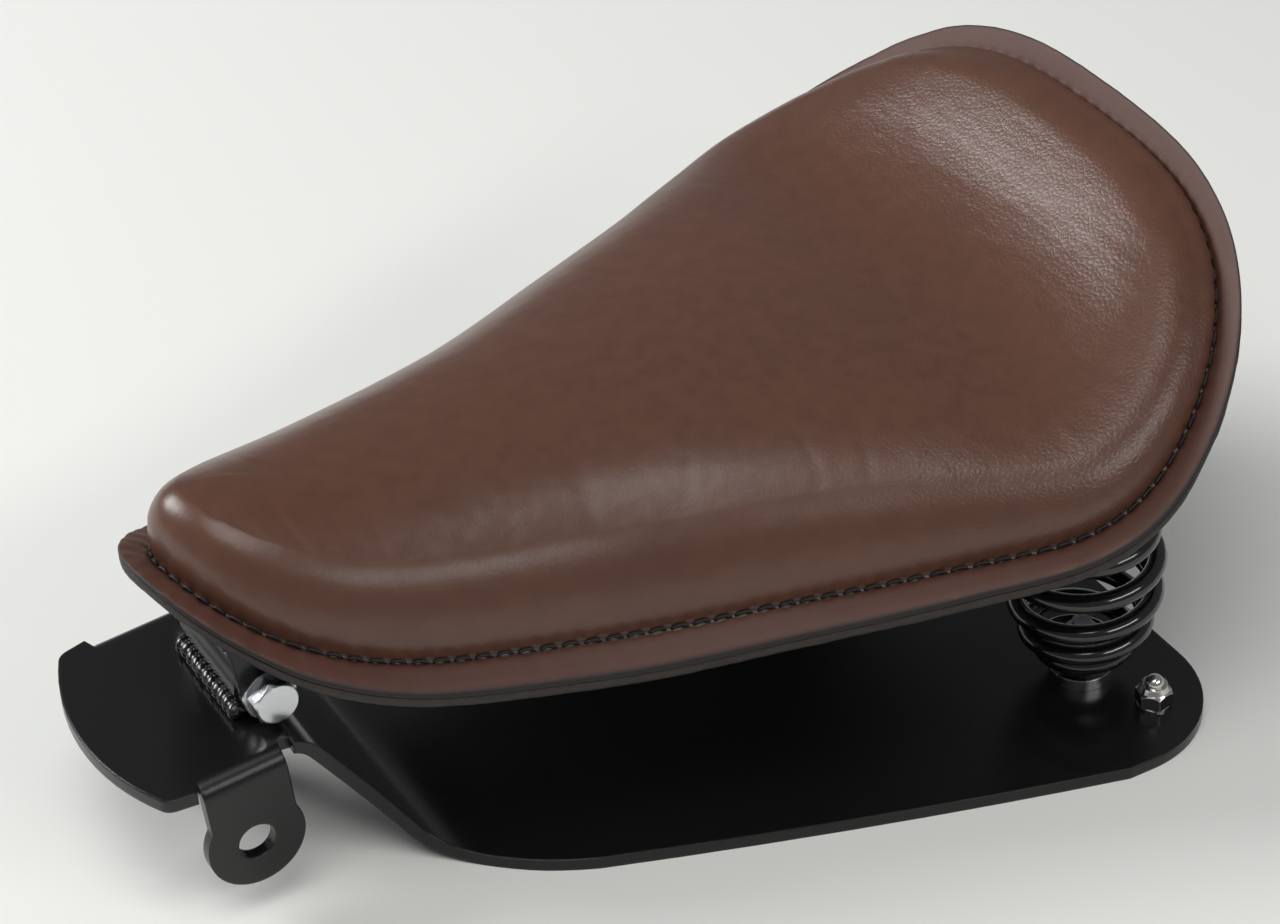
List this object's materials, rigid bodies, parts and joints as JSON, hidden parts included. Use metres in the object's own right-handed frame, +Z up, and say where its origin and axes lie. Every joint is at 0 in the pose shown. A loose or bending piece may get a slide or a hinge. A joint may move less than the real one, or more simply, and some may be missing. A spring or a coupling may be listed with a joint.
{
  "type": "motorcycle seat",
  "caption": "Solo teardrop leather motorcycle seat, hinged at the nose on a bent steel mounting plate and carried at the rear on barrel coil springs.",
  "frame": {"origin": "midway between the two ears, on the axis of the tank-bolt holes", "axes": "+X forward towards the nose, +Y to the rider's left along the tank-bolt axis, +Z up, square to the flat rear plate"},
  "size_m": [0.351, 0.25, 0.1658],
  "materials": {
    "black_coat": "satin black powder coat",
    "weld_coat": "gloss black over a rippled weld bead",
    "spring_coat": "gloss black enamel",
    "pan_paint": "satin black",
    "zinc": "bright plated steel",
    "stainless": "polished stainless",
    "bronze": "sintered bronze",
    "cover_leather": "satin brown grained leather",
    "base_leather": "dyed raw leather edge",
    "foam": "open-cell foam",
    "thread": "waxed black thread"
  },
  "bodies": {
    "plate": {"mounting_plate": "black_coat", "pivot_tube": "black_coat", "pivot_welds": "weld_coat", "pivot_bushes": "bronze", "spring_left": "spring_coat", "spring_right": "spring_coat", "spring_lower_seats": "zinc", "spring_lower_bolts": "zinc", "spring_lower_washers": "zinc", "spring_lower_nuts": "zinc", "rear_cap_nuts": "stainless", "rear_washers": "stainless", "rear_bolts": "stainless"},
    "seat": {"nose_bracket": "black_coat", "pivot_bolt": "zinc", "pivot_washers": "zinc", "pivot_nut": "zinc", "nose_bracket_bolts": "zinc", "nose_bracket_washers": "zinc", "nose_weld_nuts": "pan_paint", "seat_pan": "pan_paint", "base_leather": "base_leather", "foam_pad": "foam", "leather_cover": "cover_leather", "edge_stitching": "thread", "spring_upper_seats": "zinc", "spring_upper_washers": "zinc", "spring_upper_bolts": "zinc", "spring_weld_nuts": "pan_paint"}
  },
  "joints": [
    {"name": "nose_pivot", "type": "hinge", "parent": "plate", "child": "seat", "pos_m": [-0.0149, 0, 0.03624], "axis": [0, -1, 0], "range_deg": [0, 5], "stiffness_Nm_per_rad": 1400, "deforming": ["spring_left", "spring_right"]}
  ]
}
